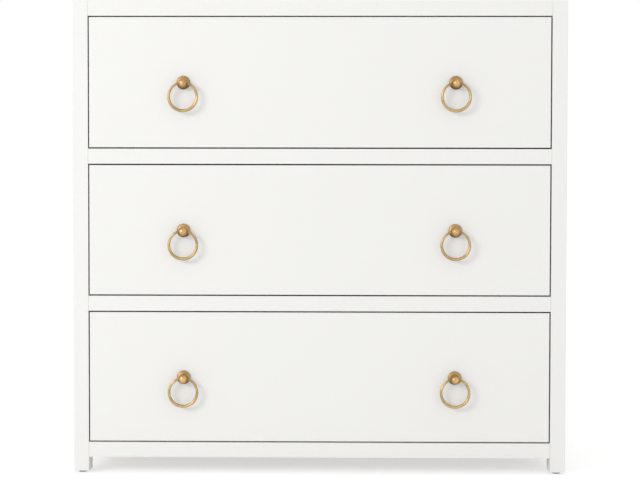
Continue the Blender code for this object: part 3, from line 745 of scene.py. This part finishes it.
def sunk_head(sizes):
    """A flat head that lies flush in its hole."""
    radius = sizes.sunk_head / 2
    rise = sizes.sheet - FIT
    profile = [(0, 0), (0, radius), (rise, radius), (rise, 0)]
    return joined(turned(profile, sizes.steps), cross_cutter(sizes, rise), "DIFFERENCE")


def screw_places(node, x):
    """The three holes along a slide member."""
    low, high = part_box(node)
    inset = bpy.context.scene.dresser_fasteners.screw_inset
    height = (low.z + high.z) / 2
    return [Vector((x, y, height)) for y in (low.y + inset, (low.y + high.y) / 2, high.y - inset)]


def make_slide_screws(row, word, side):
    """Pan heads on the drawer member, and flush heads in the cabinet member."""
    sizes = bpy.context.scene.dresser_fasteners
    drawer_member = f"{row}_{word}_slide_drawer_member"
    cabinet_member = f"{row}_{word}_slide_cabinet_member"
    web = min(abs(corner.x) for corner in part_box(drawer_member)) + sizes.sheet
    wall = max(abs(corner.x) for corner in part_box(cabinet_member))

    def driven(head, member, x, way):
        """A member's heads. Each recess is turned by its place along the slide, so that they differ."""
        matrices = [pointing(place, (way, 0, 0), twist=place.y) for place in screw_places(member, x)]
        return copies(head, matrices)

    outer = driven(pan_head(sizes), drawer_member, side * web, side)
    inner = driven(sunk_head(sizes), cabinet_member, side * wall, -side)
    name = f"{row}_{word}_slide_screws"
    piece(f"{name}_outer", outer, "zinc", f"{row}_drawer")
    piece(f"{name}_inner", inner, "zinc", "carcass")


def make_nut(row, word):
    """The washer and the nut that hold a pull, inside the drawer."""
    sizes = bpy.context.scene.dresser_fasteners
    stud = bpy.context.scene.dresser_pulls.stud / 2
    low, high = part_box(f"{row}_{word}_pull_post")
    place = Vector(((low.x + high.x) / 2, FRONT_BOX[1].y, (low.z + high.z) / 2))
    bore = stud + FIT / 2
    seat = sizes.washer_height
    top = seat + sizes.nut_height
    rim = sizes.washer / 2
    washer = turned([(FIT, bore), (FIT, rim), (seat, rim), (seat, bore), (FIT, bore)], sizes.steps)
    flat = sizes.nut / 2
    corner = flat / math.cos(math.pi / NUT_SIDES)
    block = [(seat, bore), (seat, corner), (top, corner), (top, bore), (seat, bore)]
    nut = turned(block, NUT_SIDES)
    outer_edges = [edge for edge in nut.edges if min(vert.co.xy.length for vert in edge.verts) > flat]
    bmesh.ops.bevel(
        nut, geom=outer_edges, offset=sizes.nut_chamfer, segments=2, profile=0.5, affect="EDGES",
        material=-1
    )
    turn = math.radians(NUT_TURNS[row])
    both = copies(washer, [pointing(place, (0, 1, 0))])
    copies(nut, [pointing(place, (0, 1, 0), turn)], onto=both)
    piece(f"{row}_{word}_pull_nut", both, "zinc", f"{row}_drawer")


def pin_places(sizes):
    """Points round the back panel's edge, evenly spaced on each side."""
    low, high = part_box("back_panel")
    inset = sizes.pin_inset
    left, right = low.x + inset, high.x - inset
    bottom, top = low.z + inset, high.z - inset
    corners = [(left, bottom), (right, bottom), (right, top), (left, top), (left, bottom)]
    places = []
    for (x0, z0), (x1, z1) in zip(corners, corners[1:]):
        spaces = max(1, round((abs(x1 - x0) + abs(z1 - z0)) / sizes.pin_spacing))
        for index in range(spaces):
            share = index / spaces
            places.append(Vector((x0 + (x1 - x0) * share, high.y, z0 + (z1 - z0) * share)))
    return places


def make_back_board():
    """The back panel with a dimple at each pin, and the pins driven just below its face."""
    sizes = bpy.context.scene.dresser_fasteners
    board = bmesh.new()
    board.from_mesh(frame["nodes"]["back_panel"].data)
    bmesh.ops.remove_doubles(board, verts=board.verts, dist=MERGE)
    places = [pointing(place, (0, 1, 0)) for place in pin_places(sizes)]
    deep = sizes.dimple_depth
    floor = sizes.pin / 2
    cone = [(-deep, 0), (-deep, floor), (deep, sizes.dimple - floor), (deep, 0)]
    dimples = copies(turned(cone, sizes.dimple_steps), places)
    dimpled = joined(board, dimples, "DIFFERENCE")
    piece("pinned_back_board", dimpled, "board", "carcass", ["back_panel"])
    top = -sizes.pin_depth
    root = FIT / 2 - deep
    edge = top - sizes.pin_depth / 2
    radius = floor - FIT / 2
    head = [(root, 0), (root, radius), (edge, radius), (top, radius / 2), (top, 0)]
    pins = copies(turned(head, sizes.pin_steps), places)
    piece("back_panel_pins", pins, "zinc", "carcass")


def make_glide(end, word):
    """A nailed glide with a rounded lower edge."""
    sizes = bpy.context.scene.dresser_fasteners
    node = f"{end}_{word}_glide"
    low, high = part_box(node)
    centre = Vector(((low.x + high.x) / 2, (low.y + high.y) / 2, low.z))
    radius = (high.x - low.x) / 2
    soft = sizes.glide_rounding
    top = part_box(f"{word}_side_panel")[0].z - FIT
    pin = sizes.glide_pin / 2
    edge = arc(soft, radius - soft, soft, math.pi, math.pi / 2, sizes.round_steps)
    profile = [(0, 0), *edge, (top, radius), (top, pin), (high.z, pin), (high.z, 0)]
    glide = copies(turned(profile, sizes.glide_steps), [Matrix.Translation(centre)])
    piece(f"{end}_{word}_dark_glide", glide, "glide", "carcass", [node])


# Stage


def seen_rays(tree):
    """1 for the rays that show the backdrop, to the camera, in a reflection or through glass, else 0."""
    kinds = ("Camera", "Glossy", "Transmission")
    camera, glossy, through = (
        tree.node("ShaderNodeLightPath", output=f"Is {kind} Ray") for kind in kinds
    )
    return camera.maths("MAXIMUM", camera, glossy.maths("MAXIMUM", glossy, through))


def make_floor(stage):
    """A pale matt floor, which the camera sees as white with the dresser's soft shadow on it."""
    bm = bmesh.new()
    bmesh.ops.create_grid(bm, x_segments=1, y_segments=1, size=stage.floor_width / 2)
    floor = as_object("studio_floor", bm)
    material = bpy.data.materials.new("studio_floor")
    tree = Tree(material)
    tree.nodes.clear()
    matt = tree.node("ShaderNodeBsdfDiffuse", {}, {"Color": (stage.floor,) * 3})
    shadow = tree.node("ShaderNodeBsdfDiffuse", {}, {"Color": (stage.shadow,) * 3})
    glow = tree.node("ShaderNodeEmission", {}, {"Color": (1, 1, 1), "Strength": stage.glow})
    shown = tree.node("ShaderNodeAddShader", {}, {0: shadow, 1: glow})
    mixed = tree.node("ShaderNodeMixShader", {}, {0: seen_rays(tree), 1: matt, 2: shown})
    tree.node("ShaderNodeOutputMaterial", {}, {"Surface": mixed})
    floor.data.materials.append(material)
    floor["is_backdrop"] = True


def make_sky(stage):
    """An even pale light from all round, and a white background for the camera and for reflections."""
    world = bpy.data.worlds.new("studio")
    bpy.context.scene.world = world
    tree = Tree(world)
    tree.nodes.clear()
    seen = seen_rays(tree)
    strength = seen + (1 - seen) * stage.sky
    light = tree.node("ShaderNodeBackground", {}, {"Color": (1, 1, 1), "Strength": strength})
    tree.node("ShaderNodeOutputWorld", {}, {"Surface": light})


def make_lamp(name, place, aim, width, height, power):
    """A large soft lamp that faces a point."""
    lamp = bpy.data.lights.new(name, "AREA")
    lamp.shape = "RECTANGLE"
    lamp.size = width
    lamp.size_y = height
    lamp.energy = power
    obj = bpy.data.objects.new(name, lamp)
    obj.location = place
    obj.rotation_euler = (Vector(aim) - Vector(place)).to_track_quat("-Z", "Y").to_euler()
    bpy.context.scene.collection.objects.link(obj)


def make_camera(stage):
    """The camera looks along +Y, pitched, rolled and turned by small angles."""
    data = bpy.data.cameras.new("camera")
    data.lens = stage.lens
    camera = bpy.data.objects.new("camera", data)
    pitch, roll, yaw = stage.turn
    aim = Matrix.Rotation(yaw, 4, "Z") @ Matrix.Rotation(pitch, 4, "X") @ Matrix.Rotation(roll, 4, "Y")
    camera.matrix_world = Matrix.Translation(stage.camera) @ aim @ Matrix.Rotation(math.pi / 2, 4, "X")
    bpy.context.scene.collection.objects.link(camera)
    bpy.context.scene.camera = camera


# Operators


class DRESSER_OT_lacquer(bpy.types.Operator):
    """Lacquers the frame and the drawer fronts"""

    bl_idname = "dresser.lacquer"
    bl_label = "Lacquered Boards"

    def execute(self, context):
        for entry in frame["record"]["subparts"]:
            if entry["material_slot"] == "white_lacquer":
                refinish(entry["node"], "lacquer")
        return {"FINISHED"}


class DRESSER_OT_bare_wood(bpy.types.Operator):
    """Gives the drawer boxes and the inner frame their wood"""

    bl_idname = "dresser.bare_wood"
    bl_label = "Drawer Boxes and Inner Wood"

    def execute(self, context):
        for row in ROWS:
            refinish(f"{row}_drawer_back", "birch_across")
            refinish(f"{row}_drawer_bottom", "birch_across")
            for word in SIDES:
                refinish(f"{row}_drawer_{word}_side", "birch_along")
        for node in ("bottom_panel", "rear_bottom_rail", "rear_top_rail"):
            refinish(node, "inner")
        return {"FINISHED"}


class DRESSER_OT_slides(bpy.types.Operator):
    """Plates the slides and adds their screws"""

    bl_idname = "dresser.slides"
    bl_label = "Slides and Screws"

    def execute(self, context):
        for row in ROWS:
            for word, side in SIDES.items():
                for member in ("cabinet", "middle", "drawer"):
                    refinish(f"{row}_{word}_slide_{member}_member", "zinc")
                make_slide_screws(row, word, side)
        return {"FINISHED"}


class DRESSER_OT_posts(bpy.types.Operator):
    """Turns the brass rosettes and balls"""

    bl_idname = "dresser.posts"
    bl_label = "Pull Posts"

    def execute(self, context):
        for row, word in PULLS:
            make_post(row, word)
        return {"FINISHED"}


class DRESSER_OT_rings(bpy.types.Operator):
    """Casts the brass rings"""

    bl_idname = "dresser.rings"
    bl_label = "Pull Rings"

    def execute(self, context):
        for row, word in PULLS:
            make_ring(row, word)
        return {"FINISHED"}


class DRESSER_OT_nuts(bpy.types.Operator):
    """Adds the washers and nuts inside the drawers"""

    bl_idname = "dresser.nuts"
    bl_label = "Pull Nuts"

    def execute(self, context):
        for row, word in PULLS:
            make_nut(row, word)
        return {"FINISHED"}


class DRESSER_OT_back_board(bpy.types.Operator):
    """Pins the back panel into its rebates"""

    bl_idname = "dresser.back_board"
    bl_label = "Back Board and Pins"

    def execute(self, context):
        make_back_board()
        return {"FINISHED"}


class DRESSER_OT_glides(bpy.types.Operator):
    """Moulds the four glides"""

    bl_idname = "dresser.glides"
    bl_label = "Glides"

    def execute(self, context):
        for end in ENDS:
            for word in SIDES:
                make_glide(end, word)
        return {"FINISHED"}


class DRESSER_OT_stage(bpy.types.Operator):
    """Sets up the floor, the light and the camera"""

    bl_idname = "dresser.stage"
    bl_label = "Stage"

    def execute(self, context):
        stage = context.scene.dresser_stage
        context.scene.view_settings.view_transform = "Standard"
        make_floor(stage)
        make_sky(stage)
        low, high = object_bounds()
        middle = (low + high) / 2
        make_lamp("key", stage.key, middle, stage.key_width, stage.lamp_height, stage.key_power)
        make_lamp("fill", stage.fill, middle, stage.fill_width, stage.lamp_height, stage.fill_power)
        make_camera(stage)
        return {"FINISHED"}


OPERATORS = (
    DRESSER_OT_lacquer,
    DRESSER_OT_bare_wood,
    DRESSER_OT_slides,
    DRESSER_OT_posts,
    DRESSER_OT_rings,
    DRESSER_OT_nuts,
    DRESSER_OT_back_board,
    DRESSER_OT_glides,
    DRESSER_OT_stage,
)


class DRESSER_PT_panel(bpy.types.Panel):
    """Lists the pieces of the dresser"""

    bl_idname = "DRESSER_PT_panel"
    bl_label = "Dresser"
    bl_space_type = "VIEW_3D"
    bl_region_type = "UI"
    bl_category = "Dresser"

    def draw(self, context):
        for operator in OPERATORS:
            self.layout.operator(operator.bl_idname)
        for name, group in SETTINGS.items():
            box = self.layout.box()
            box.label(text=group.__doc__)
            for prop in group.__annotations__:
                box.prop(getattr(context.scene, name), prop)


def register():
    for cls in (*SETTINGS.values(), *OPERATORS, DRESSER_PT_panel):
        bpy.utils.register_class(cls)
    for name, group in SETTINGS.items():
        setattr(bpy.types.Scene, name, PointerProperty(type=group))


def unregister():
    for name in SETTINGS:
        delattr(bpy.types.Scene, name)
    for cls in reversed((*SETTINGS.values(), *OPERATORS, DRESSER_PT_panel)):
        bpy.utils.unregister_class(cls)


def main():
    register()
    for operator in OPERATORS:
        group, name = operator.bl_idname.split(".")
        getattr(getattr(bpy.ops, group), name)()


if __name__ == "__main__":
    main()
